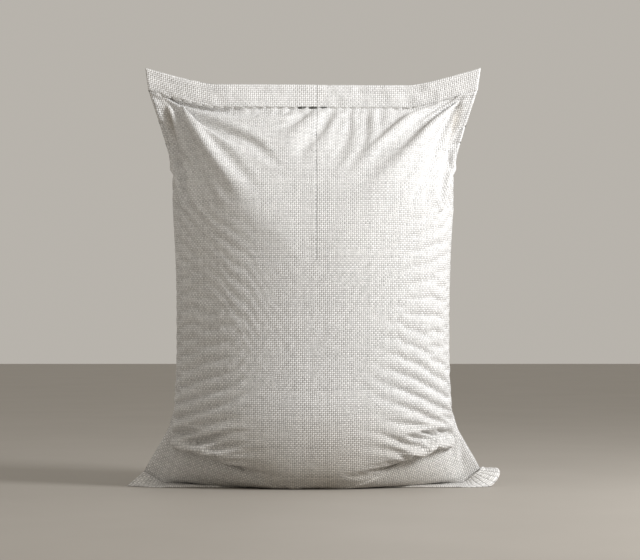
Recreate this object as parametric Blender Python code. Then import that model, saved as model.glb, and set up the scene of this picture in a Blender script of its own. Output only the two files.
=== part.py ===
"""A full cement sack of woven plastic, standing on its sewn base.

The sack is a tube of cloth, hemmed and sewn shut at both ends. Each end seam stays as wide as the
tube laid flat, so the full body is narrower than the four corners, which stand out as ears.
X runs along the seams, Y through the sack's thickness and Z up, with the floor at zero.
"""
import math

import bmesh
import bpy

# Driving dimensions of the sack, in metres
STANDING_HEIGHT = 0.615      # floor to the tips of the top ears
SEAM_HEIGHT = 0.557          # floor to the top seam, at its middle
HEM_HEIGHT = 0.033           # the folded hem above the top seam
HEM_THICKNESS = 0.003        # all the layers of the folded hem
BODY_WIDTH = 0.409           # the full body, half way up
BODY_DEPTH = 0.227
TOP_SEAM_SPAN = 0.486        # the top seam, from end to end
TOP_EAR_SPAN = 0.495         # the hem's upper edge, from tip to tip
BASE_EAR_SPAN = 0.556        # the base ears, from tip to tip of the hem that sticks out there
BASE_DEPTH = 0.096           # the flat patch that the sack stands on
FLARE_HEIGHT = 0.110         # how far up the base ears pull the sides out
SHOULDER_HEIGHT = 0.390      # where the sides start to spread to the top ears
ROOF_HEIGHT = 0.260          # where the front and back start to flatten and close to the top seam
EAR_START = 0.58             # the share of the half width where the top ears start to rise
EAR_LOW = 0.44               # the top ears lie flat from between these heights upwards
EAR_HIGH = 0.49
EAR_REACH = 0.018            # how wide the flat part of a top ear is
FIN_THICKNESS = 0.104        # the base ears where they come out from under the body
FIN_EDGE = 0.008             # the flat rim of a base ear
FOLD_SOFTNESS = 0.014        # half the width of the step from the body down to a base ear

# How sharply the forms change; 1 is straight, and more is later and quicker
FLARE_POWER = 1.4            # the sides, down to the base ears
SPREAD_POWER = 1.6           # the sides, up to the top ears
SIDE_POWER = 0.62            # the body, out from its middle to its sides; 0.5 is an oval and 1 a lens
EAR_POWER = 1.25             # the hem, out to the tips of the top ears
ROOF_POWER = 3.1             # the front and back, up from the full depth
FOLD_POWER = 0.65            # the fold between the body and a base ear, up from the floor
FIN_SLOPE = 0.50             # how fast a base ear gets thicker, at the floor
FIN_SLOPE_GAIN = 0.35        # and how much faster at its top

# Driving dimensions of the sewing thread, in metres
THREAD_DIAMETER = 0.0012
THREAD_CLEARANCE = 0.0003    # from the cloth to the thread
STITCH_HEIGHT = 0.002        # from the foot of the hem up to the row of stitches
EAR_OFFSET = 1.7             # keeps the clearance square to the sloping cloth of a base ear
BASE_THREAD_HEIGHT = 0.024   # from the floor up to the stitches on the base ears
BASE_THREAD_START = 0.84     # the share of the half width where the base stitches come out

# Steps of the meshes
COLUMNS = 44                 # across the front, and as many across the back
BODY_ROWS = 36
THREAD_SIDES = 6
THREAD_STEPS = 40            # along the top seam
EAR_THREAD_STEPS = 6         # along one side of a base ear

# Worked out from the above
HALF_HEM = HEM_THICKNESS / 2
HEM_TOP = SEAM_HEIGHT + HEM_HEIGHT
EAR_RISE = STANDING_HEIGHT - HEM_TOP
THREAD_RADIUS = THREAD_DIAMETER / 2


def clear_scene():
    for item in list(bpy.data.objects):
        bpy.data.objects.remove(item, do_unlink=True)


def ramp(value, start, end):
    """Go smoothly from 0 at start to 1 at end."""
    part = min(max((value - start) / (end - start), 0.0), 1.0)
    return part * part * (3.0 - 2.0 * part)


def half_width(height):
    """Give the sack's half width: full at the base ears, waisted, and spread again at the top."""
    waist = BODY_WIDTH / 2
    flare = max(1.0 - height / FLARE_HEIGHT, 0.0) ** FLARE_POWER
    spread = max((height - SHOULDER_HEIGHT) / (SEAM_HEIGHT - SHOULDER_HEIGHT), 0.0) ** SPREAD_POWER
    if height > SEAM_HEIGHT:
        along_hem = (height - SEAM_HEIGHT) / HEM_HEIGHT
        return (TOP_SEAM_SPAN + (TOP_EAR_SPAN - TOP_SEAM_SPAN) * along_hem) / 2
    return waist + (BASE_EAR_SPAN / 2 - waist) * flare + (TOP_SEAM_SPAN / 2 - waist) * spread


def oval_depth(height, place):
    """Give the body's half depth at a place left or right of its middle."""
    wide = BODY_WIDTH / 2
    if height > SHOULDER_HEIGHT:
        wide = half_width(height) - EAR_REACH * ramp(height, EAR_LOW, EAR_HIGH)
    round_over = math.sqrt(1.0 - (1.0 - min(height / FLARE_HEIGHT, 1.0)) ** 2)
    full = (BASE_DEPTH + (BODY_DEPTH - BASE_DEPTH) * round_over) / 2 - HALF_HEM
    return full * max(1.0 - (place / wide) ** 2, 0.0) ** SIDE_POWER


def roof_depth(height):
    """Give the half depth that the flattened front and back leave below the top seam."""
    closing = max((height - ROOF_HEIGHT) / (SEAM_HEIGHT - ROOF_HEIGHT), 0.0)
    return (BODY_DEPTH / 2 - HALF_HEM) * max(1.0 - closing ** ROOF_POWER, 0.0)


def fin_depth(height, place):
    """Give the half depth of a base ear, which is a wedge with a thin rim."""
    rim = min(BODY_WIDTH / 2 + height, half_width(height) - FIN_EDGE)
    slope = FIN_SLOPE + FIN_SLOPE_GAIN * height / FLARE_HEIGHT
    return min(slope * max(rim - abs(place), 0.0), FIN_THICKNESS / 2)


def cloth_depth(height, place):
    """Give how far the cloth stands from the sack's middle plane."""
    depth = min(oval_depth(height, place), roof_depth(height))
    if height < FLARE_HEIGHT:
        fold = BODY_WIDTH / 2 * (height / FLARE_HEIGHT) ** FOLD_POWER
        below = ramp(abs(place), fold - FOLD_SOFTNESS / 2, fold + 1.5 * FOLD_SOFTNESS)
        depth += below * min(fin_depth(height, place) - depth, 0.0)
    return HALF_HEM + depth


def ear_lift(height, across):
    """Give how far a point is raised where the top corners are drawn up into ears."""
    near_ear = max((abs(across) - EAR_START) / (1.0 - EAR_START), 0.0) ** EAR_POWER
    return EAR_RISE * near_ear * ramp(height, SHOULDER_HEIGHT, SEAM_HEIGHT)


def sack_point(height, step, side):
    """Give the point of a column at a height; side is -1 on the front and 1 on the back."""
    across = -math.cos(math.pi * step / COLUMNS)
    place = half_width(height) * across
    return (place, side * cloth_depth(height, place), height + ear_lift(height, across))


def row_heights():
    """Space the rows closely at the rounded base and near the seam, and add the hem's edges."""
    body = [SEAM_HEIGHT * (1.0 - math.cos(math.pi * row / BODY_ROWS)) / 2
            for row in range(BODY_ROWS + 1)]
    return body + [HEM_TOP]


def build_sack():
    """Loft the closed sack, front and back, and close it at the base, the sides and the hem."""
    shape = bmesh.new()
    rows = []
    for height in row_heights():
        front = [shape.verts.new(sack_point(height, step, -1)) for step in range(COLUMNS + 1)]
        back = [shape.verts.new(sack_point(height, step, 1)) for step in range(COLUMNS + 1)]
        rows.append(front + back[::-1])
    count = len(rows[0])
    for low, high in zip(rows, rows[1:]):
        for here in range(count):
            after = (here + 1) % count
            shape.faces.new((low[here], low[after], high[after], high[here]))
    for row, upward in ((rows[0], False), (rows[-1], True)):
        for step in range(COLUMNS):
            quad = [row[step], row[step + 1], row[count - 2 - step], row[count - 1 - step]]
            shape.faces.new(quad if upward else quad[::-1])
    return finish("woven_sack", shape, cloth_material())


def thread_tube(name, path, closed):
    """Sweep a thin round thread along a path of points."""
    curve = bpy.data.curves.new(name, "CURVE")
    curve.dimensions = "3D"
    curve.bevel_depth = THREAD_RADIUS
    curve.bevel_resolution = THREAD_SIDES // 2 - 2
    curve.use_fill_caps = True
    line = curve.splines.new("POLY")
    line.points.add(len(path) - 1)
    for point, place in zip(line.points, path):
        point.co = (*place, 1.0)
    line.use_cyclic_u = closed
    thread = bpy.data.objects.new(name, curve)
    bpy.context.scene.collection.objects.link(thread)
    curve.materials.append(thread_material())
    return thread


def build_top_thread():
    """Run the thread along the front of the hem, round its end, and back along the rear."""
    height = SEAM_HEIGHT + STITCH_HEIGHT
    end = half_width(height) + THREAD_CLEARANCE + THREAD_RADIUS
    off = HALF_HEM + THREAD_CLEARANCE + THREAD_RADIUS
    front = []
    for step in range(THREAD_STEPS + 1):
        across = -1.0 + 2.0 * step / THREAD_STEPS
        lift = ear_lift(SEAM_HEIGHT, across)
        front.append((across * end, -off, height + lift))
    rear = [(x, -y, z) for x, y, z in reversed(front)]
    return thread_tube("top_seam_thread", front + rear, closed=True)


def build_base_thread(name, hand):
    """Run the thread round one base ear, over the cloth from the body's front to its rear."""
    height = BASE_THREAD_HEIGHT
    off = EAR_OFFSET * (THREAD_CLEARANCE + THREAD_RADIUS)
    front = []
    for step in range(EAR_THREAD_STEPS + 1):
        across = BASE_THREAD_START + (1.0 - BASE_THREAD_START) * step / EAR_THREAD_STEPS
        place = (half_width(height) + off) * across
        front.append((hand * place, -cloth_depth(height, place) - off, height))
    rear = [(x, -y, z) for x, y, z in reversed(front)]
    return thread_tube(name, front + rear, closed=False)


def plain_material(name, colour, roughness):
    material = bpy.data.materials.get(name)
    if material is None:
        material = bpy.data.materials.new(name)
        material.use_nodes = True
        shader = material.node_tree.nodes["Principled BSDF"]
        shader.inputs["Base Color"].default_value = (*colour, 1.0)
        shader.inputs["Roughness"].default_value = roughness
        shader.inputs["Metallic"].default_value = 0.0
    return material


def cloth_material():
    return plain_material("woven_plastic_cloth", (0.78, 0.77, 0.74), 0.45)


def thread_material():
    return plain_material("sewing_thread", (0.55, 0.52, 0.47), 0.8)


def finish(name, shape, material):
    """Turn a finished shape into a smooth shaded object."""
    bmesh.ops.recalc_face_normals(shape, faces=shape.faces)
    mesh = bpy.data.meshes.new(name)
    shape.to_mesh(mesh)
    shape.free()
    mesh.materials.append(material)
    mesh.shade_smooth()
    mesh.set_sharp_from_angle(angle=math.radians(50))
    part = bpy.data.objects.new(name, mesh)
    bpy.context.scene.collection.objects.link(part)
    return part


def main():
    clear_scene()
    build_sack()
    build_top_thread()
    build_base_thread("base_seam_thread_left", -1)
    build_base_thread("base_seam_thread_right", 1)


main()
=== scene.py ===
import math

import bpy
import numpy as np
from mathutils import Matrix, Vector


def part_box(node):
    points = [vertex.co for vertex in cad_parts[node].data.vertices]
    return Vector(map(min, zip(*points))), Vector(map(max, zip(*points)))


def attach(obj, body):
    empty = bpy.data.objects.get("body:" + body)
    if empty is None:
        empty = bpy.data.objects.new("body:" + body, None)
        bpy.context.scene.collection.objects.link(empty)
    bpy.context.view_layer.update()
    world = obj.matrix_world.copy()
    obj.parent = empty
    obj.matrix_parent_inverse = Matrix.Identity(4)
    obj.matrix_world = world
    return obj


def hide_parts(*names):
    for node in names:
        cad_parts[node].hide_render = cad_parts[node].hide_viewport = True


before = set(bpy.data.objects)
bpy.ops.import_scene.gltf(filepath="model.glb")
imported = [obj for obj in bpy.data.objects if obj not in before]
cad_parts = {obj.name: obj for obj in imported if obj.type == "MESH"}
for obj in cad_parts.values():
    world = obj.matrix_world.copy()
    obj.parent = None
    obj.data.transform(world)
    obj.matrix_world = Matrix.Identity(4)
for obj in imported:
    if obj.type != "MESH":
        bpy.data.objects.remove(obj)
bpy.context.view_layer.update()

# Sizes of the sack in metres, as in the model that the frame holds
STANDING_HEIGHT = Vector(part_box("woven_sack")[1]).z
FLAT_WIDTH = 0.500           # the tube laid flat
FLAT_LENGTH = 0.685          # the tube between its two seams
SEAM_HEIGHT = 0.557
HEM_HEIGHT = 0.033
TOP_SEAM_SPAN = 0.486
TOP_EAR_SPAN = 0.495
EAR_RISE = STANDING_HEIGHT - SEAM_HEIGHT - HEM_HEIGHT
EAR_START = 0.58
EAR_POWER = 1.25
HEM_SWAY = 0.006             # how far the top hem bends to the front and to the back
BASE_SEAM_SPAN = 0.498
BASE_SEAM_HEIGHT = 0.0012
BASE_EAR_LIFT = 0.019        # how high the ends of the base seam stand
BASE_EAR_START = 0.86        # the share of the half width where the base hem turns out

# How far the ends of the base hem turn from pointing down to pointing outwards
LEFT_EAR_TURN = math.radians(50)
RIGHT_EAR_TURN = math.radians(98)

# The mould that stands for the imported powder: a lens-like section that narrows towards the floor
MOULD_HALF_WIDTH = 0.2065
MOULD_HALF_DEPTH = 0.1125
MOULD_BASE_DEPTH = 0.060
MOULD_ROUNDING = 0.120
MOULD_POWER = 0.62           # 0.5 is an oval and 1 a lens
MOULD_FLARE = 0.0345         # how far the mould widens up to the top seam
FLARE_LOW, FLARE_HIGH = 0.45, 0.57
SIDES_LOW, SIDES_HIGH = 0.11, 0.56
CROWN_HEIGHT = 0.260         # the front and back flatten from here up to the top seam
CROWN_DROP = 0.1105
CROWN_POWER = 3.1
CROWN_PLAY = 0.001
MOULD_FIRMNESS = 0.5         # the share of an overshoot that one sweep takes back
LOOSE_DEPTH = 0.02           # cloth nearer the middle plane is free, but for the body's sides

# Guides of the side creases: over the base ears from the base seam up, and down the top ears
FIN_LENGTH = 0.066
FIN_FOOT = np.array((0.249, 0.0, 0.0202))
FIN_RUN = np.array((-0.035, -0.004, 0.060))
FIN_RUN_LENGTH = 0.0695
FIN_EXTENSION = 0.050        # the guide lets go over this length above the base ear
FIN_GATHER = 0.93            # and is this much shorter there than the flat cloth
EAR_LOW = Vector((0.2075, 0.0, 0.468))
EAR_HIGH = Vector((0.2430, 0.0, 0.582))
EAR_CURVE = 1.1
EAR_FADE = 0.03              # the guide takes hold over this height above its foot
CREASE_FIRMNESS = 0.5
TUCK_COLUMNS = 6             # the flat part of a top ear, in columns of the finest level
TUCK_LOW, TUCK_HIGH = 0.475, 0.500
TUCK_STRETCH = 0.95
TUCK_GAP = 0.0025
TUCK_FIRMNESS = 0.4

# The cloth solver: how finely the tube is divided, and how long each stage runs
HALF_COLUMNS = 20            # across the front at the coarsest level
BODY_ROWS = 36               # from seam to seam at the coarsest level
STAGES = (
    {"steps": 400, "sweeps": 8, "step": 1.00, "bend": 0.02, "squeeze": 0.0, "noise": 0.0},
    {"steps": 120, "sweeps": 10, "step": 0.30, "bend": 0.02, "squeeze": 0.0, "noise": 0.0},
    {"steps": 80, "sweeps": 14, "step": 0.08, "bend": 0.05, "squeeze": 0.0, "noise": 0.0004},
    {"steps": 50, "sweeps": 16, "step": 0.05, "bend": 0.03, "squeeze": 1.0, "noise": 0.0003},
)
FINEST = len(STAGES) - 1
QUICK_STAGES = 2
GROWING_STEPS = 200          # the hems move to their places over these steps of the first stage
SHEAR = 0.1
PUSH_STEP = 0.02
DAMPING = 0.9
ON_FLOOR = 1e-4
GRIP = 0.6                   # how much of a slide along the floor is allowed
PRESSURE = 1.0
PRESSURE_GROWTH = 0.6        # how much more the powder pushes at the floor
PRESSURE_TOP = 0.50
EMPTY_START, EMPTY_END = 0.38, 0.52
EMPTY_PRESSURE = 0.1         # what is left of the pressure above the powder
WEIGHT = 0.01
TOP_SQUEEZE = 0.15           # how far the cloth at the top resists being squeezed together

# How much the solved puckers are deepened: in the middle, at the sides and at the top
FOLD_GAIN_MIDDLE = 0.5
FOLD_GAIN_SIDES = 2.6
FOLD_GAIN_TOP = 1.5
PUCKER_ROWS = (5, 4)         # the reach of the averages that a pucker stands out from
PUCKER_COLUMNS = (3, 2)

# Where these gains set in, and where the cloth is left as solved: shares of the half width
# and of the height
SIDES_FROM, SIDES_TO = 0.30, 0.62
TOP_FROM, TOP_TO = 0.70, 0.82
KEPT_CREASE_FROM, KEPT_CREASE_TO = 0.90, 0.96
KEPT_BASE_FROM, KEPT_BASE_TO = 0.10, 0.16
KEPT_SEAM_FROM, KEPT_SEAM_TO = 0.955, 0.98

# Cloth and seams
LAYER = 0.0007               # half the gap that parts the two layers where they lie together
HEM_FOOTPRINT = 0.036        # the hem under the sack reaches this far to the front
HEM_LIFT = 0.0030            # and lifts the cloth by this much
LOWEST_CLOTH = 0.0004
LOWEST_HEM = 0.0003
HEM_COLUMNS = 361
HEM_END = 0.012              # a hem's ends are rounded over this share of the half width
ROLL_FROM, ROLL_TO = 0.90, 0.96
CORNER_FROM = 0.955          # where the hem's rounded corner starts
THREAD_RADIUS = 0.0007
THREAD_SIDES = 6
STITCH = 0.0160
STITCH_HEIGHT = -0.0015      # the stitches run this far above the seam
STITCH_FRONT = 0.0030        # how far they stand out at the front and at the back
STITCH_BACK = 0.0022
LOOP_SPREAD = 0.0011         # half the width of a loop of the chain at the back
STITCHED_SHARE = 0.985       # the share of the half width that the stitches reach
BASE_STITCH_START = 0.90

# The looks of the cloth
TAPE = 0.00294               # the pitch of the woven tapes
FOLD_LINE = FLAT_WIDTH / 2 + 0.005
FOLD_LINE_REACH = 0.0020     # half the width of the old fold down the middle
FOLD_LINE_FOOT = 0.42        # how far up the flat cloth it starts
CREASE_HIGHLIGHT = 0.0035           # the painted highlight along a side crease, and the painted shade beside it
SHADED_EDGE = 0.0065
# painted shade near the floor reaches up this far
LOW_SHADE_HEIGHT = 0.13

# Camera: its distance and eye height, and what one pixel of the 640 wide frame shows
CAMERA_DISTANCE = 2.9
CAMERA_HEIGHT = 0.222
PIXEL = 0.00147
FRAME_WIDTH = 640
AIM = Vector((0.0103, 0.0, 0.302))


def smooth_step(value, start, end):
    """Go smoothly from 0 at start to 1 at end."""
    part = np.clip((value - start) / (end - start), 0.0, 1.0)
    return part * part * (3.0 - 2.0 * part)


def divisions(level):
    """Give the columns across the front, the rows between the seams and the rows of a hem."""
    return HALF_COLUMNS * 2 ** level, BODY_ROWS * 2 ** level, 2 ** level


def row_lengths(level):
    """Give the flat distance between each row and the next, from the base hem up."""
    _, body, hem = divisions(level)
    lengths = np.full(body + 2 * hem, FLAT_LENGTH / body, dtype=np.float32)
    lengths[:hem] = HEM_HEIGHT / hem
    lengths[-hem:] = HEM_HEIGHT / hem
    return lengths


def across_sack(level):
    """Give each column's place across the sack, from -1 at the left crease to 1 at the right."""
    half, _, _ = divisions(level)
    column = np.arange(2 * half)
    return np.where(column <= half, column, 2 * half - column) / half * 2.0 - 1.0


def empty_tube():
    """Lay out the tube upright and nearly flat, with its front towards -Y."""
    half, body, hem = divisions(0)
    across = across_sack(0)
    heights = np.concatenate([[0.0], np.cumsum(row_lengths(0))])
    cloth = np.zeros((body + 2 * hem + 1, 2 * half, 3))
    cloth[..., 0] = across * FLAT_WIDTH / 2
    cloth[..., 2] = heights[:, None]
    up = np.clip((heights - HEM_HEIGHT) / FLAT_LENGTH, 0.0, 1.0)
    side = np.where(np.arange(2 * half) < half, -1.0, 1.0)
    bulge = side * np.sqrt(np.clip(1.0 - across ** 2, 0.0, 1.0))
    cloth[..., 1] = 0.03 * np.sin(math.pi * up)[:, None] * bulge
    return cloth


def finer(cloth):
    """Put a new point between each point and the next, both ways."""
    rows, columns, _ = cloth.shape
    fine = np.zeros((2 * rows - 1, 2 * columns, 3))
    fine[::2, ::2] = cloth
    fine[::2, 1::2] = (cloth + np.roll(cloth, -1, axis=1)) / 2
    fine[1::2] = (fine[:-2:2] + fine[2::2]) / 2
    return fine


def top_hem_line(across, share):
    """Give points on the top hem: share is 0 on the seam and 1 on the upper edge."""
    near_ear = np.clip((np.abs(across) - EAR_START) / (1.0 - EAR_START), 0.0, 1.0)
    points = np.zeros((len(across), 3))
    points[:, 0] = across * (TOP_SEAM_SPAN + (TOP_EAR_SPAN - TOP_SEAM_SPAN) * share) / 2
    points[:, 1] = HEM_SWAY * np.sin(math.pi * across)
    points[:, 2] = SEAM_HEIGHT + HEM_HEIGHT * share + EAR_RISE * near_ear ** EAR_POWER
    return points


def base_hem_line(across, share):
    """Give points on the base hem: share is 0 on the seam and 1 on the outer edge.

    Under the sack the hem lies folded to the front. At the ears it turns outwards.
    """
    out = smooth_step(np.abs(across), BASE_EAR_START, 1.0)
    turn = np.where(across < 0, LEFT_EAR_TURN, RIGHT_EAR_TURN) * out
    points = np.zeros((len(across), 3))
    points[:, 0] = across * BASE_SEAM_SPAN / 2
    points[:, 2] = BASE_SEAM_HEIGHT + BASE_EAR_LIFT * out
    way = np.zeros((len(across), 3))
    way[:, 0] = np.sign(across) * np.sin(turn) * out
    way[:, 1] = -(1.0 - out) - 0.15 * out
    way[:, 2] = -np.cos(turn) * out
    way /= np.linalg.norm(way, axis=1)[:, None]
    points += way * HEM_HEIGHT * share
    points[:, 2] = np.maximum(points[:, 2], BASE_SEAM_HEIGHT / 2)
    return points


def hem_targets(level):
    """Give where the rows of both hems are held, from the base edge up and from the top seam up."""
    _, _, hem = divisions(level)
    across = across_sack(level)
    base = np.stack([base_hem_line(across, 1.0 - row / hem) for row in range(hem + 1)])
    top = np.stack([top_hem_line(across, row / hem) for row in range(hem + 1)])
    return base.astype(np.float32), top.astype(np.float32)


def fin_targets(level):
    """Give where the right side crease runs over the base ear, from the seam up, and how firmly.

    The left crease mirrors it.
    """
    _, body, _ = divisions(level)
    length = FLAT_LENGTH / body
    part = np.arange(1, int(round(FIN_LENGTH / length))) * length / FIN_RUN_LENGTH
    line = FIN_FOOT + FIN_RUN * part[:, None]
    count = int(round(FIN_EXTENSION / length))
    free = 1.0 - np.arange(1, count + 1) / count
    heading = np.stack([-0.5 * free ** 1.5 - 0.03, 0.05 * free, 1.0 - 0.14 * free], -1)
    heading /= np.linalg.norm(heading, axis=1)[:, None]
    above = line[-1] + np.cumsum(heading * length * FIN_GATHER, axis=0)
    firm = CREASE_FIRMNESS * np.concatenate([np.ones(len(line)), free ** 1.5])
    return np.concatenate([line, above]).astype(np.float32), firm.astype(np.float32)[:, None]


def ear_targets(level):
    """Give where the right side crease runs down the top ear, from its foot up to the seam.

    The next value is how firmly it is held, and the last how far the cloth lies flat there.
    """
    _, body, _ = divisions(level)
    height = np.linspace(EAR_HIGH.z, EAR_LOW.z, 200)
    part = (height - EAR_LOW.z) / (EAR_HIGH.z - EAR_LOW.z)
    across = EAR_LOW.x + (EAR_HIGH.x - EAR_LOW.x) * part ** EAR_CURVE
    travel = np.concatenate([[0.0], np.cumsum(np.hypot(np.diff(across), np.diff(height)))])
    length = FLAT_LENGTH / body
    count = int(travel[-1] / length)
    place = (count - np.arange(count)) * length
    line = np.stack([np.interp(place, travel, across), np.zeros(count),
                     np.interp(place, travel, height)], -1)
    firm = CREASE_FIRMNESS * smooth_step(line[:, 2], EAR_LOW.z, EAR_LOW.z + EAR_FADE)
    flat = smooth_step(line[:, 2], TUCK_LOW, TUCK_HIGH)
    return line.astype(np.float32), firm.astype(np.float32)[:, None], flat.astype(np.float32)


def hold_creases(cloth, level, guides, grown):
    """Draw the side creases to their guides, and lay the cloth beside the top ears flat."""
    half, body, hem = divisions(level)
    (fin, fin_firm), (ear, ear_firm, flat) = guides
    fin_rows = slice(hem + 1, hem + 1 + len(fin))
    ear_rows = slice(hem + body - len(ear), hem + body)
    tuck = TUCK_COLUMNS * 2 ** level // 2 ** FINEST
    reach = TUCK_COLUMNS * FLAT_WIDTH / divisions(FINEST)[0] * TUCK_STRETCH * (0.6 + 0.4 * flat)
    for column, hand in ((0, -1.0), (half, 1.0)):
        mirror = np.float32((hand, 1.0, 1.0))
        for rows, line, firm in ((fin_rows, fin, fin_firm), (ear_rows, ear, ear_firm)):
            cloth[rows, column] += (line * mirror - cloth[rows, column]) * (firm * grown)
        if level < 2:
            continue
        for side in (-1, 1):
            beside = (column + int(tuck * side * hand)) % (2 * half)
            aim = ear * mirror
            aim[:, 0] -= hand * reach
            aim[:, 1] += TUCK_GAP * side
            hold = TUCK_FIRMNESS * flat[:, None] * grown
            cloth[ear_rows, beside] += (aim - cloth[ear_rows, beside]) * hold


def pull(start, end, rest, strength, squeeze):
    """Move pairs of points towards their rest distance, each by half of what is missing.

    Squeeze is how far the cloth resists where they are too close: 0 lets it crumple freely.
    """
    gap = end - start
    length = np.sqrt((gap * gap).sum(-1)) + 1e-9
    share = (length - rest) / length
    share = np.where(share < 0, share * squeeze, share)
    gap *= (0.5 * strength * share)[..., None]
    start += gap
    end -= gap


def alternate(count, first):
    """Pick the indices that start a pair two apart, so that no two pairs share a point."""
    index = np.arange(count)
    return index[(index % 4 == first) | (index % 4 == first + 1)]


def squeezes(level, stage):
    """Give how far the threads in each row of the cloth resist being squeezed."""
    _, body, hem = divisions(level)
    up = (np.arange(body + 2 * hem + 1) - hem) / body
    firm = max(TOP_SQUEEZE, stage["squeeze"]) - stage["squeeze"]
    threads = stage["squeeze"] + firm * smooth_step(up, 0.5, 0.8)
    return threads.astype(np.float32)[:, None]


def keep_lengths(cloth, lengths, width, bend, squeeze):
    """Bring every thread of the cloth back towards its woven length, once."""
    rows, columns, _ = cloth.shape
    for first in (0, 1):
        lower, upper = cloth[first:rows - 1:2], cloth[first + 1:rows:2]
        pull(lower, upper, lengths[first::2, None], 1.0, squeeze[first:rows - 1:2])
    pull(cloth[:, 0::2], cloth[:, 1::2], width, 1.0, squeeze)
    right = np.roll(cloth, -1, axis=1)[:, 1::2].copy()
    pull(cloth[:, 1::2], right, width, 1.0, squeeze)
    cloth[:, 2::2] = right[:, :-1]
    cloth[:, 0] = right[:, -1]
    for first in (0, 1):
        diagonal = np.sqrt(width * width + lengths[first::2, None] ** 2)
        lower, upper = cloth[first:rows - 1:2], cloth[first + 1:rows:2]
        for step in (-1, 1):
            turned = np.roll(upper, step, axis=1)
            pull(lower, turned, diagonal, SHEAR, squeeze[first:rows - 1:2])
            upper[:] = np.roll(turned, -step, axis=1)
    for first in (0, 2):
        index = alternate(rows - 2, first)
        low, high = cloth[index], cloth[index + 2]
        pull(low, high, (lengths[index] + lengths[index + 1])[:, None], bend, squeeze[index])
        cloth[index], cloth[index + 2] = low, high
    for first in (0, 2):
        index = alternate(columns, first)
        left, right = cloth[:, index], cloth[:, (index + 2) % columns]
        pull(left, right, 2 * width, bend, squeeze)
        cloth[:, index], cloth[:, (index + 2) % columns] = left, right


def running_mean(values, reach):
    """Average each row with the rows up to reach above and below it."""
    below, above = np.repeat(values[:1], reach + 1, 0), np.repeat(values[-1:], reach, 0)
    total = np.cumsum(np.concatenate([below, values, above]), axis=0, dtype=np.float64)
    return (total[2 * reach + 1:] - total[:-2 * reach - 1]) / (2 * reach + 1)


def running_mean_around(values, reach):
    """Average each column with the columns up to reach to its left and right."""
    wrapped = np.concatenate([values[:, -reach - 1:], values, values[:, :reach]], axis=1)
    total = np.cumsum(wrapped, axis=1, dtype=np.float64)
    return (total[:, 2 * reach + 1:] - total[:, :-2 * reach - 1]) / (2 * reach + 1)


def overshoot(share, level, reach):
    """Give by how much to draw points back that lie at this share of the mould's size."""
    if level >= 2:
        share = running_mean(share, reach * 2 ** (level - 2))
    return np.clip(1.0 - 1.0 / np.maximum(share, 1.0), 0.0, 1.0) * MOULD_FIRMNESS


def keep_in_mould(body, level):
    """Press the body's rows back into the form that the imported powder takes."""
    height = body[..., 2]
    low = 1.0 - np.clip(height / MOULD_ROUNDING, 0.0, 1.0)
    drop = 1.0 - np.sqrt(1.0 - low * low)
    depth = MOULD_HALF_DEPTH - (MOULD_HALF_DEPTH - MOULD_BASE_DEPTH) * drop
    closing = np.clip((height - CROWN_HEIGHT) / (SEAM_HEIGHT - CROWN_HEIGHT), 0.0, 1.1)
    crown = MOULD_HALF_DEPTH - CROWN_DROP * closing ** CROWN_POWER + CROWN_PLAY
    body[..., 1] *= 1.0 - overshoot(np.abs(body[..., 1]) / np.maximum(crown, 0.002), level, 2)
    spread = np.clip((height - FLARE_LOW) / (FLARE_HIGH - FLARE_LOW), 0.0, 1.2)
    width = MOULD_HALF_WIDTH + MOULD_FLARE * spread ** 1.2
    outward = (body[..., 0] / width) ** 2 + (np.abs(body[..., 1]) / depth) ** (1.0 / MOULD_POWER)
    at_sides = (height > SIDES_LOW) & (height < SIDES_HIGH)
    held = (np.abs(body[..., 1]) > LOOSE_DEPTH) | at_sides
    over = np.where(held, overshoot(np.sqrt(outward), level, 3), 0.0)
    body[..., 1] *= 1.0 - over
    body[..., 0] *= 1.0 - over * at_sides


def push(cloth, level):
    """Give the push of the powder and the cloth's weight at each point."""
    _, body, hem = divisions(level)
    width = FLAT_WIDTH / HALF_COLUMNS / 2 ** level
    along = np.zeros_like(cloth)
    along[1:-1] = cloth[2:] - cloth[:-2]
    around = np.roll(cloth, -1, 1) - np.roll(cloth, 1, 1)
    force = np.cross(around, along) / (4 * width * width)
    force[:hem + 1] = 0
    force[hem + body:] = 0
    height = cloth[..., 2]
    pressure = PRESSURE + PRESSURE_GROWTH * np.clip(1.0 - height / PRESSURE_TOP, 0.0, 1.2)
    pressure *= 1.0 - (1.0 - EMPTY_PRESSURE) * smooth_step(height, EMPTY_START, EMPTY_END)
    force *= pressure[..., None]
    force[..., 2] -= WEIGHT
    return force


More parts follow.
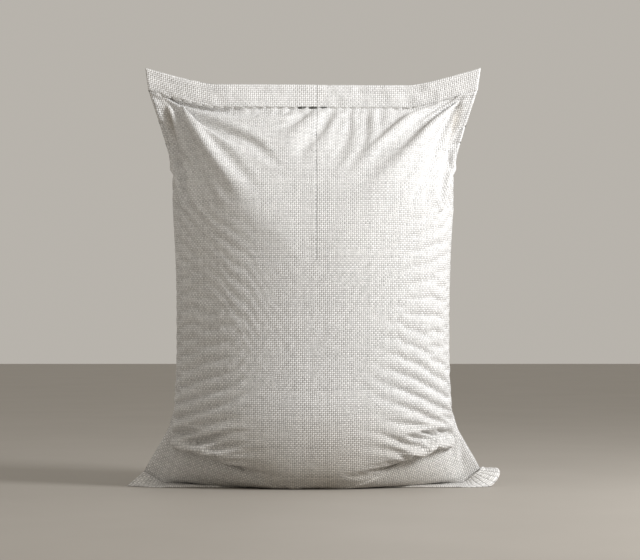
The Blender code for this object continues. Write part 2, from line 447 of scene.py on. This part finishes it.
def settle(cloth, level, stage):
    """Run one stage of the solver: the powder pushes, and the cloth keeps its length."""
    half, body, hem = divisions(level)
    width = FLAT_WIDTH / half
    lengths = row_lengths(level)
    cloth = cloth.astype(np.float32)
    speed = np.zeros_like(cloth)
    base, top = hem_targets(level)
    base_start, top_start = cloth[:hem + 1].copy(), cloth[hem + body:].copy()
    guides = fin_targets(level), ear_targets(level)
    squeeze = squeezes(level, stage)
    scale = stage["step"] * width * PUSH_STEP
    growing = GROWING_STEPS if level == 0 else 0
    for step in range(stage["steps"]):
        grown = 1.0 if step >= growing else (step + 1) / growing
        grown = np.float32(grown * grown * (3.0 - 2.0 * grown))
        speed = speed * DAMPING + push(cloth, level) * scale
        before = cloth.copy()
        cloth += speed.astype(np.float32)
        for _ in range(stage["sweeps"]):
            cloth[:hem + 1] = base_start + (base - base_start) * grown
            cloth[hem + body:] = top_start + (top - top_start) * grown
            hold_creases(cloth, level, guides, grown)
            keep_lengths(cloth, lengths, width, stage["bend"], squeeze)
            keep_in_mould(cloth[hem:hem + body], level)
            np.maximum(cloth[..., 2], 0.0, out=cloth[..., 2])
        speed = cloth - before
        on_floor = cloth[..., 2] < ON_FLOOR
        speed[on_floor, :2] = 0
        slide = cloth[on_floor, :2] - before[on_floor, :2]
        cloth[on_floor, :2] = before[on_floor, :2] + slide * GRIP
    cloth[:hem + 1], cloth[hem + body:] = base, top
    return cloth.astype(np.float64)


def filled_tube():
    """Fill and settle the tube, from coarse to fine, and give the rows between the seams."""
    rng = np.random.default_rng(1)
    cloth = empty_tube()
    for level, stage in enumerate(STAGES):
        if level:
            cloth = finer(cloth)
            cloth += rng.normal(0.0, 1.0, cloth.shape) * stage["noise"]
        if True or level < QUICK_STAGES:
            cloth = settle(cloth, level, stage)
    _, body, hem = divisions(FINEST)
    return cloth[hem:hem + body + 1]


def deepen_folds(rows):
    """Deepen the puckers at the sides and calm them in the middle, and leave the ears alone."""
    soft = rows
    for reach in PUCKER_ROWS:
        soft = running_mean(soft, reach)
    for reach in PUCKER_COLUMNS:
        soft = running_mean_around(soft, reach)
    aside = np.abs(across_sack(FINEST))[None]
    up = (np.arange(len(rows)) / (len(rows) - 1))[:, None]
    at_sides = smooth_step(aside, SIDES_FROM, SIDES_TO)
    gain = FOLD_GAIN_MIDDLE + (FOLD_GAIN_SIDES - FOLD_GAIN_MIDDLE) * at_sides
    gain = gain + (FOLD_GAIN_TOP - gain) * smooth_step(up, TOP_FROM, TOP_TO)
    change = 1.0 - smooth_step(aside, KEPT_CREASE_FROM, KEPT_CREASE_TO)
    change = change * smooth_step(up, KEPT_BASE_FROM, KEPT_BASE_TO)
    change = change * (1.0 - smooth_step(up, KEPT_SEAM_FROM, KEPT_SEAM_TO))
    gain = 1.0 + (gain - 1.0) * change
    return soft + (rows - soft) * gain[..., None]


def part_layers(rows):
    """Part the front from the back where they lie together, and rest the base on its hem."""
    columns = rows.shape[1]
    across = across_sack(FINEST)
    side = np.where(np.arange(columns) < columns // 2, -1.0, 1.0)
    rows[..., 1] += LAYER * side * (1.0 - across ** 8)
    x, y = rows[..., 0], rows[..., 1]
    over_hem = smooth_step(y, -2.0 * HEM_FOOTPRINT, -HEM_FOOTPRINT) * smooth_step(-y, -0.02, 0.0)
    over_hem *= 1.0 - smooth_step(np.abs(x), 0.19, 0.22)
    rows[..., 2] = np.maximum(rows[..., 2], LOWEST_CLOTH + HEM_LIFT * over_hem)
    return rows


def add_object(name, vertices, faces, material):
    """Make a smooth mesh object that rides with the sack."""
    mesh = bpy.data.meshes.new(name)
    mesh.from_pydata([tuple(vertex) for vertex in vertices], [], faces)
    mesh.validate()
    mesh.shade_smooth()
    mesh.materials.append(material)
    made = bpy.data.objects.new(name, mesh)
    bpy.context.scene.collection.objects.link(made)
    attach(made, "root")
    return made


def set_cloth_place(made, places):
    """Store each point's place on the flat cloth: across, along and across the layers."""
    attribute = made.data.attributes.new("cloth_place", "FLOAT_VECTOR", "POINT")
    attribute.data.foreach_set("vector", np.asarray(places, dtype=np.float32).reshape(-1))


def grid_faces(rows, columns, closed):
    """Give the faces of a grid of points, closed round its columns or not."""
    index = np.arange(rows * columns).reshape(rows, columns)
    right = np.roll(index, -1, 1)
    faces = np.stack([index[:-1], right[:-1], right[1:], index[1:]], -1)
    if not closed:
        faces = faces[:, :-1]
    return [tuple(face) for face in faces.reshape(-1, 4).tolist()]


def build_sack(material):
    """Make the filled tube, closed along its two seams."""
    rows = part_layers(deepen_folds(filled_tube()))
    count, columns, _ = rows.shape
    half = columns // 2
    faces = grid_faces(count, columns, True)
    for base, order in ((0, 1), ((count - 1) * columns, -1)):
        for column in range(half):
            front = base + column
            back = base + (columns - column) % columns
            next_front = base + column + 1
            next_back = base + (columns - column - 1) % columns
            corners = [front, back, next_back, next_front][::order]
            faces.append(tuple(dict.fromkeys(corners)))
    made = add_object("sack_cloth", rows.reshape(-1, 3), faces, material)
    across = (across_sack(FINEST) + 1.0) / 2.0 * FLAT_WIDTH
    along = np.arange(count) / (count - 1) * FLAT_LENGTH
    places = np.zeros((count, columns, 3))
    places[..., 0] = across
    places[..., 1] = along[:, None]
    places[:, half + 1:, 2] = 1.0
    set_cloth_place(made, places)
    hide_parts("woven_sack")
    return made


# The section of a folded hem: share of the hem's height, distance to the front in metres
HEM_SECTION = (
    (-0.03, -0.0004), (0.00, 0.0012), (0.02, 0.0024), (0.06, 0.0032), (0.12, 0.0030),
    (0.20, 0.0024), (0.32, 0.0022), (0.46, 0.0021), (0.60, 0.0020), (0.74, 0.0019),
    (0.87, 0.0018), (0.96, 0.0014), (1.00, 0.0004), (1.00, -0.0006), (0.96, -0.0014),
    (0.87, -0.0017), (0.74, -0.0018), (0.60, -0.0018), (0.46, -0.0018), (0.32, -0.0018),
    (0.20, -0.0018), (0.10, -0.0018), (0.02, -0.0017),
)


def waves(across, seed, lengths, amount):
    """Add up smooth random waves of the given lengths along the hem."""
    rng = np.random.default_rng(seed)
    total = np.zeros(len(across))
    for length in lengths:
        knots = rng.normal(0.0, 1.0, int(FLAT_WIDTH / length) + 4)
        place = (across + 1.0) / 2.0 * FLAT_WIDTH / length + 1.0
        whole = np.floor(place).astype(int)
        part = place - whole
        part = part * part * (3.0 - 2.0 * part)
        total += knots[whole] * (1.0 - part) + knots[whole + 1] * part
    return total * amount / math.sqrt(len(lengths))


def build_hem(name, line, material, seed, ripple, rolled=0.0):
    """Make a folded hem: its section follows the hem's surface from ear to ear.

    Rolled is how much thicker its right end is, where the corner of the hem is rounded too.
    """
    across = np.linspace(-1.0, 1.0, HEM_COLUMNS)
    seam, edge = line(across, 0.0), line(across, 1.0)
    tangent = np.gradient(seam, axis=0)
    facing = np.cross(edge - seam, tangent)
    facing /= np.linalg.norm(facing, axis=1)[:, None]
    ends = np.clip((1.0 - np.abs(across)) / HEM_END, 0.0, 1.0)
    round_end = np.sqrt(1.0 - (1.0 - ends) ** 2)
    round_end = round_end * (1.0 + rolled * smooth_step(across, ROLL_FROM, ROLL_TO))
    corner = np.clip((across - CORNER_FROM) / (1.0 - CORNER_FROM), 0.0, 1.0) * (rolled > 0.0)
    shorter = 1.0 - 0.5 * (1.0 - np.sqrt(1.0 - corner ** 2))
    rings, places = [], []
    for number, (share, out) in enumerate(HEM_SECTION):
        puckers = waves(across, seed + number // 3, (0.011, 0.017, 0.040), ripple)
        amount = math.sin(math.pi * min(max(share, 0.0), 1.0)) if out > 0 else 0.4
        middle = seam + (line(across, share) - seam) * shorter[:, None]
        ring = middle + facing * (out * round_end + puckers * amount * round_end)[:, None]
        ring[:, 2] = np.maximum(ring[:, 2], LOWEST_HEM)
        rings.append(ring)
        place = np.zeros((HEM_COLUMNS, 3))
        place[:, 0] = (across + 1.0) / 2.0 * FLAT_WIDTH
        place[:, 1] = FLAT_LENGTH + share * HEM_HEIGHT
        place[:, 2] = 0.0 if out > 0 else 1.0
        places.append(place)
    points = np.stack(rings, 1)
    count = len(HEM_SECTION)
    faces = grid_faces(HEM_COLUMNS, count, True)
    faces.append(tuple(range(count))[::-1])
    faces.append(tuple((HEM_COLUMNS - 1) * count + ring for ring in range(count)))
    made = add_object(name, points.reshape(-1, 3), faces, material)
    set_cloth_place(made, np.stack(places, 1))
    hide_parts("woven_sack")
    return made


def tube(points):
    """Give the points and faces of a round thread along a path, closed at both ends."""
    tangent = np.gradient(points, axis=0)
    tangent /= np.linalg.norm(tangent, axis=1)[:, None]
    first = np.cross(tangent, (0.0, 0.0, 1.0))
    first[np.linalg.norm(first, axis=1) < 1e-3] = (1.0, 0.0, 0.0)
    first /= np.linalg.norm(first, axis=1)[:, None]
    second = np.cross(tangent, first)
    turn = (np.arange(THREAD_SIDES) / THREAD_SIDES * math.tau)[None, :, None]
    out = np.cos(turn) * first[:, None] + np.sin(turn) * second[:, None]
    rings = points[:, None] + THREAD_RADIUS * out
    faces = grid_faces(len(points), THREAD_SIDES, True)
    faces.append(tuple(range(THREAD_SIDES))[::-1])
    faces.append(tuple((len(points) - 1) * THREAD_SIDES + side for side in range(THREAD_SIDES)))
    return rings.reshape(-1, 3), faces


def build_stitches(name, line, low, high, material, node):
    """Sew a chain stitch along a seam: dashes on its front, and a chain of loops on its back."""
    count = max(2, int(round((high - low) / 2.0 * FLAT_WIDTH / STITCH)))
    bounds = np.linspace(low, high, count + 1)
    vertices, faces = [], []

    def add(path):
        points, quads = tube(path)
        start = sum(len(group) for group in vertices)
        vertices.append(points)
        faces.extend(tuple(start + corner for corner in face) for face in quads)

    for start, end in zip(bounds[:-1], bounds[1:]):
        share = np.linspace(0.06, 0.94, 9)
        across = start + (end - start) * share
        seam = line(across, 0.0)
        edge = line(across, 1.0)
        tangent = np.gradient(seam, axis=0)
        facing = np.cross(edge - seam, tangent)
        facing /= np.linalg.norm(facing, axis=1)[:, None]
        along = (edge - seam) / HEM_HEIGHT
        rise = np.sin(math.pi * share) ** 0.5
        add(seam + along * STITCH_HEIGHT + facing * (STITCH_FRONT * rise - 0.0006)[:, None])
        for side in (-1.0, 1.0):
            spread = side * LOOP_SPREAD * np.sin(math.pi * share)
            offset = along * (STITCH_HEIGHT + spread)[:, None]
            add(seam + offset - facing * (STITCH_BACK * rise - 0.0004)[:, None])
    made = add_object(name, np.concatenate(vertices), faces, material)
    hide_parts(node)
    return made


class Graph:
    """A short way to add a material's nodes and join them."""

    def __init__(self, name):
        self.material = bpy.data.materials.new(name)
        self.material.use_nodes = True
        self.tree = self.material.node_tree
        self.tree.nodes.clear()
        self.shader = self.tree.nodes.new("ShaderNodeBsdfPrincipled")
        output = self.tree.nodes.new("ShaderNodeOutputMaterial")
        self.tree.links.new(self.shader.outputs["BSDF"], output.inputs["Surface"])

    def put(self, socket, value):
        """Set a socket to a number, or join it to another node's output."""
        if isinstance(value, bpy.types.NodeSocket):
            self.tree.links.new(value, socket)
        else:
            socket.default_value = value

    def math(self, operation, *values):
        node = self.tree.nodes.new("ShaderNodeMath")
        node.operation = operation
        for socket, value in zip(node.inputs, values):
            self.put(socket, value)
        return node.outputs[0]

    def add(self, first, second):
        return self.math("ADD", first, second)

    def subtract(self, first, second):
        return self.math("SUBTRACT", first, second)

    def multiply(self, first, second):
        return self.math("MULTIPLY", first, second)

    def near(self, distance, reach):
        """Be 1 where the distance is 0, and fall to 0 at the reach."""
        return self.subtract(1.0, self.math("MINIMUM", self.math("DIVIDE", distance, reach), 1.0))

    def mix(self, share, first, second):
        """Blend two numbers."""
        node = self.tree.nodes.new("ShaderNodeMix")
        node.data_type = "FLOAT"
        for socket, value in zip(node.inputs[:4], (share, None, first, second)):
            if value is not None:
                self.put(socket, value)
        return node.outputs[0]

    def mix_color(self, share, first, second, blend="MIX"):
        node = self.tree.nodes.new("ShaderNodeMix")
        node.data_type = "RGBA"
        node.blend_type = blend
        self.put(node.inputs[0], share)
        self.put(node.inputs[6], first)
        self.put(node.inputs[7], second)
        return node.outputs[2]

    def noise(self, place, scale, detail=2.0, roughness=0.5):
        node = self.tree.nodes.new("ShaderNodeTexNoise")
        self.put(node.inputs["Vector"], place)
        node.inputs["Scale"].default_value = scale
        node.inputs["Detail"].default_value = detail
        node.inputs["Roughness"].default_value = roughness
        return node.outputs["Fac"]

    def random(self, *numbers):
        """Give one random number for each set of whole numbers."""
        join = self.tree.nodes.new("ShaderNodeCombineXYZ")
        for socket, value in zip(join.inputs, numbers):
            self.put(socket, value)
        node = self.tree.nodes.new("ShaderNodeTexWhiteNoise")
        node.noise_dimensions = "3D"
        self.put(node.inputs["Vector"], join.outputs[0])
        return node.outputs["Value"]

    def bump(self, height, strength, distance, normal=None):
        node = self.tree.nodes.new("ShaderNodeBump")
        node.inputs["Strength"].default_value = strength
        node.inputs["Distance"].default_value = distance
        self.put(node.inputs["Height"], height)
        if normal is not None:
            self.put(node.inputs["Normal"], normal)
        return node.outputs[0]

    def object_place(self):
        return self.tree.nodes.new("ShaderNodeTexCoord").outputs["Object"]

    def split(self, vector):
        """Part a vector into its three numbers."""
        apart = self.tree.nodes.new("ShaderNodeSeparateXYZ")
        self.put(apart.inputs[0], vector)
        return apart.outputs

    def cloth_place(self):
        node = self.tree.nodes.new("ShaderNodeAttribute")
        node.attribute_name = "cloth_place"
        return self.split(node.outputs["Vector"])


def weave(graph, across, along, place):
    """Weave the tapes over and under each other.

    Give their height, whether the upright one is on top, and the numbers of both tapes.
    """
    drift = graph.multiply(graph.subtract(graph.noise(place, 60.0, 1.0), 0.5), 0.8)
    u = graph.add(graph.math("DIVIDE", across, TAPE), drift)
    v = graph.add(graph.math("DIVIDE", along, TAPE), drift)
    whole_u, whole_v = graph.math("FLOOR", u), graph.math("FLOOR", v)
    part_u, part_v = graph.math("FRACT", u), graph.math("FRACT", v)
    upright_on_top = graph.math("MODULO", graph.add(whole_u, whole_v), 2.0)

    def across_tape(part):
        """Be flat over a tape and fall away at its two edges."""
        edge = graph.math("ABSOLUTE", graph.subtract(graph.multiply(part, 2.0), 1.0))
        return graph.subtract(1.0, graph.math("POWER", edge, 5.0))

    def along_tape(part):
        """Rise in the middle of a crossing, where the tape passes over."""
        return graph.math("SINE", graph.multiply(part, math.pi))

    upright = graph.multiply(across_tape(part_u), along_tape(part_v))
    level = graph.multiply(across_tape(part_v), along_tape(part_u))
    return graph.mix(upright_on_top, level, upright), upright_on_top, whole_u, whole_v


def weave_tone(graph, woven, spot, patchy, height_up):
    """Make each tape and crossing a little lighter or darker, paint a sheen difference between the
    crossings, and paint shade into the gaps between the tapes.
    """
    height, upright_on_top, whole_u, whole_v = woven
    tape = graph.mix(upright_on_top, graph.random(whole_v, 3.0, 0.0), graph.random(whole_u, 7.0, 0.0))
    tone = graph.add(0.95, graph.multiply(tape, 0.12))
    tone = graph.add(tone, graph.multiply(spot, 0.16))
    # painted sheen: crossings where the level tape lies on top are painted darker
    tone = graph.subtract(tone, graph.mix(upright_on_top, 0.17, 0.0))
    # painted shade in the gaps between the tapes, deeper towards the floor
    gap_shade = graph.add(0.16, graph.multiply(patchy, 0.28))
    gap_shade = graph.add(gap_shade, graph.multiply(graph.near(height_up, 0.30), 0.28))
    tone = graph.subtract(tone, graph.multiply(graph.near(height, 0.45), gap_shade))
    for whole in (whole_u, whole_v):
        fourth_tape = graph.math("LESS_THAN", graph.math("MODULO", whole, 4.0), 0.5)
        tone = graph.subtract(tone, graph.multiply(fourth_tape, graph.multiply(patchy, 0.08)))
    return tone


def body_tone(graph, tone, along, cloud, patchy, height_up):
    """Add faint clouds, painted light on the upper part and a mottled hem."""
    tone = graph.add(tone, graph.multiply(graph.subtract(cloud, 0.5), 0.16))
    # painted light: the cloth is made lighter higher up
    lighter = graph.multiply(graph.subtract(height_up, 0.24), 0.34)
    lighter = graph.math("MINIMUM", graph.math("MAXIMUM", lighter, 0.0), 0.08)
    tone = graph.add(tone, lighter)
    in_hem = graph.math("GREATER_THAN", along, FLAT_LENGTH)
    mottle = graph.add(0.02, graph.multiply(graph.subtract(patchy, 0.4), 0.5))
    return graph.add(tone, graph.multiply(in_hem, mottle))


def crease_light_and_shade(graph, edge, along):
    """Paint a highlight along the edge of the side creases, and paint shade on the cloth beside it.
    """
    highlighted = graph.math("LESS_THAN", edge, CREASE_HIGHLIGHT)
    beside = graph.multiply(graph.math("LESS_THAN", edge, SHADED_EDGE), graph.subtract(1.0, highlighted))
    in_body = graph.multiply(graph.math("GREATER_THAN", along, 0.10),
                             graph.math("LESS_THAN", along, FLAT_LENGTH - 0.002))
    # painted highlight on the crease edge, painted shade beside it
    mark = graph.subtract(graph.multiply(highlighted, 0.10), graph.multiply(beside, 0.17))
    return graph.multiply(mark, in_body)


def painted_shade_share(graph, edge, along, cloud, apart):
    """Give where shade is painted: near the floor, most in the middle, and in the tucks beside the
    top ears.
    """
    aside = graph.math("DIVIDE", graph.math("ABSOLUTE", apart[0]), 0.26)
    centred = graph.subtract(1.0, graph.multiply(aside, aside))
    # painted shade near the floor, patchy and strongest in the middle
    low_shade = graph.near(apart[2], LOW_SHADE_HEIGHT)
    low_shade = graph.multiply(low_shade, graph.add(0.35, graph.multiply(cloud, 0.8)))
    low_shade = graph.multiply(low_shade, graph.math("MAXIMUM", centred, 0.25))
    # painted shade in the tucks beside the top ears
    from_edge = graph.math("ABSOLUTE", graph.subtract(edge, 0.020))
    from_foot = graph.math("ABSOLUTE", graph.subtract(along, FLAT_LENGTH - 0.046))
    tuck = graph.multiply(graph.near(from_edge, 0.011), graph.near(from_foot, 0.038))
    return graph.add(low_shade, graph.multiply(tuck, 0.75))


def woven_material():
    """White woven plastic tapes, with painted shade in the gaps and along a fold line, a painted
    sheen on the crossings, painted highlights and shade at the side creases, painted shade low down
    and in the tucks, and painted light higher up.
    """
    graph = Graph("woven_plastic")
    across, along, _ = graph.cloth_place()
    place = graph.object_place()
    apart = graph.split(place)
    cloud = graph.noise(place, 9.0, 4.0, 0.6)
    patchy = graph.noise(place, 34.0, 3.0, 0.6)
    edge = graph.math("MINIMUM", across, graph.subtract(FLAT_WIDTH, across))

    woven = weave(graph, across, along, place)
    height, _, whole_u, whole_v = woven
    spot = graph.random(whole_u, whole_v, 1.0)
    tone = weave_tone(graph, woven, spot, patchy, apart[2])
    tone = body_tone(graph, tone, along, cloud, patchy, apart[2])
    from_fold = graph.math("ABSOLUTE", graph.subtract(across, FOLD_LINE))
    in_fold = graph.multiply(graph.near(from_fold, FOLD_LINE_REACH),
                             graph.math("GREATER_THAN", along, FOLD_LINE_FOOT))
    # painted shade along the old fold down the middle
    tone = graph.subtract(tone, graph.multiply(graph.multiply(in_fold, patchy), 0.64))
    tone = graph.add(tone, crease_light_and_shade(graph, edge, along))

    white = (0.874, 0.872, 0.868, 1.0)
    # a warm colour for the painted shade near the floor and in the tucks
    shade_color = (0.52, 0.475, 0.405, 1.0)
    color = graph.mix_color(painted_shade_share(graph, edge, along, cloud, apart), white, shade_color)
    shade = graph.tree.nodes.new("ShaderNodeCombineColor")
    for socket in shade.inputs:
        graph.put(socket, tone)
    color = graph.mix_color(1.0, color, shade.outputs[0], "MULTIPLY")
    graph.put(graph.shader.inputs["Base Color"], color)

    rough = graph.add(0.38, graph.multiply(spot, 0.16))
    graph.put(graph.shader.inputs["Roughness"], rough)
    graph.shader.inputs["Specular IOR Level"].default_value = 0.45
    fine = graph.bump(height, 0.9, 0.0009)
    crumple = graph.bump(graph.noise(place, 70.0, 3.0, 0.6), 0.45, 0.0018, fine)
    crease = graph.bump(graph.subtract(1.0, in_fold), 0.6, 0.0008, crumple)
    graph.put(graph.shader.inputs["Normal"], crease)
    return graph.material


def thread_material():
    """Off-white sewing thread, a little furry, with painted shade on a few stitches near the middle.
    """
    graph = Graph("sewing_thread")
    place = graph.object_place()
    twist = graph.tree.nodes.new("ShaderNodeTexWave")
    graph.put(twist.inputs["Vector"], place)
    twist.inputs["Scale"].default_value = 900.0
    twist.inputs["Distortion"].default_value = 2.0
    color = graph.mix_color(twist.outputs["Fac"], (0.60, 0.59, 0.57, 1.0), (0.84, 0.83, 0.81, 1.0))
    # painted shade: the stitches near the middle are coloured dark
    shaded_stitches = graph.math("LESS_THAN", graph.math("ABSOLUTE", graph.split(place)[0]), 0.024)
    color = graph.mix_color(shaded_stitches, color, (0.10, 0.10, 0.09, 1.0))
    graph.put(graph.shader.inputs["Base Color"], color)
    graph.shader.inputs["Roughness"].default_value = 0.8
    graph.put(graph.shader.inputs["Normal"], graph.bump(twist.outputs["Fac"], 0.5, 0.0002))
    return graph.material


def floor_material():
    """Pale concrete-like floor with the faintest clouds."""
    graph = Graph("studio_floor")
    cloud = graph.noise(graph.object_place(), 3.0, 4.0, 0.6)
    color = graph.mix_color(cloud, (0.37, 0.342, 0.305, 1.0), (0.43, 0.400, 0.360, 1.0))
    graph.put(graph.shader.inputs["Base Color"], color)
    graph.shader.inputs["Roughness"].default_value = 0.6
    return graph.material


def build_floor():
    """Lay a wide floor under the sack."""
    size = 12.0
    mesh = bpy.data.meshes.new("studio_floor")
    corners = [(-size, -size, 0.0), (size, -size, 0.0), (size, size, 0.0), (-size, size, 0.0)]
    mesh.from_pydata(corners, [], [(0, 1, 2, 3)])
    mesh.materials.append(floor_material())
    floor = bpy.data.objects.new("studio_floor", mesh)
    bpy.context.scene.collection.objects.link(floor)


def aim_at(item, place, target):
    """Place a light or camera and point it at a target."""
    item.location = place
    item.rotation_mode = "QUATERNION"
    item.rotation_quaternion = (Vector(target) - Vector(place)).to_track_quat("-Z", "Y")


def add_light(name, place, size, power, color):
    light = bpy.data.lights.new(name, "AREA")
    light.size = size
    light.energy = power
    light.color = color
    lamp = bpy.data.objects.new(name, light)
    bpy.context.scene.collection.objects.link(lamp)
    aim_at(lamp, place, (0.0, 0.0, 0.32))


def light_scene():
    """Light the sack from the upper right, in a plain grey surrounding."""
    add_light("key", (1.76, -0.97, 1.23), 0.6, 46.0, (0.985, 0.99, 1.0))
    world = bpy.data.worlds.new("studio")
    world.use_nodes = True
    backing = world.node_tree.nodes["Background"]
    backing.inputs["Color"].default_value = (0.478, 0.452, 0.412, 1.0)
    backing.inputs["Strength"].default_value = 1.0
    bpy.context.scene.world = world


def place_camera():
    """Stand the camera where the photograph was taken from."""
    lens = bpy.data.cameras.new("camera")
    lens.sensor_width = 36.0
    lens.lens = lens.sensor_width * CAMERA_DISTANCE / (FRAME_WIDTH * PIXEL)
    camera = bpy.data.objects.new("camera", lens)
    bpy.context.scene.collection.objects.link(camera)
    aim_at(camera, (AIM.x, -CAMERA_DISTANCE, CAMERA_HEIGHT), AIM)
    bpy.context.scene.camera = camera


def main():
    bpy.context.scene.view_settings.view_transform = "Standard"
    place_camera()
    light_scene()
    build_floor()
    cloth = woven_material()
    thread = thread_material()
    build_sack(cloth)
    build_hem("top_hem", top_hem_line, cloth, 11, 0.0013)
    build_hem("base_hem", base_hem_line, cloth, 31, 0.0005, rolled=2.0)
    build_stitches("top_stitches", top_hem_line, -STITCHED_SHARE, STITCHED_SHARE,
                   thread, "top_seam_thread")
    build_stitches("base_stitches_left", base_hem_line, -STITCHED_SHARE, -BASE_STITCH_START,
                   thread, "base_seam_thread_left")
    build_stitches("base_stitches_right", base_hem_line, BASE_STITCH_START, STITCHED_SHARE,
                   thread, "base_seam_thread_right")


main()
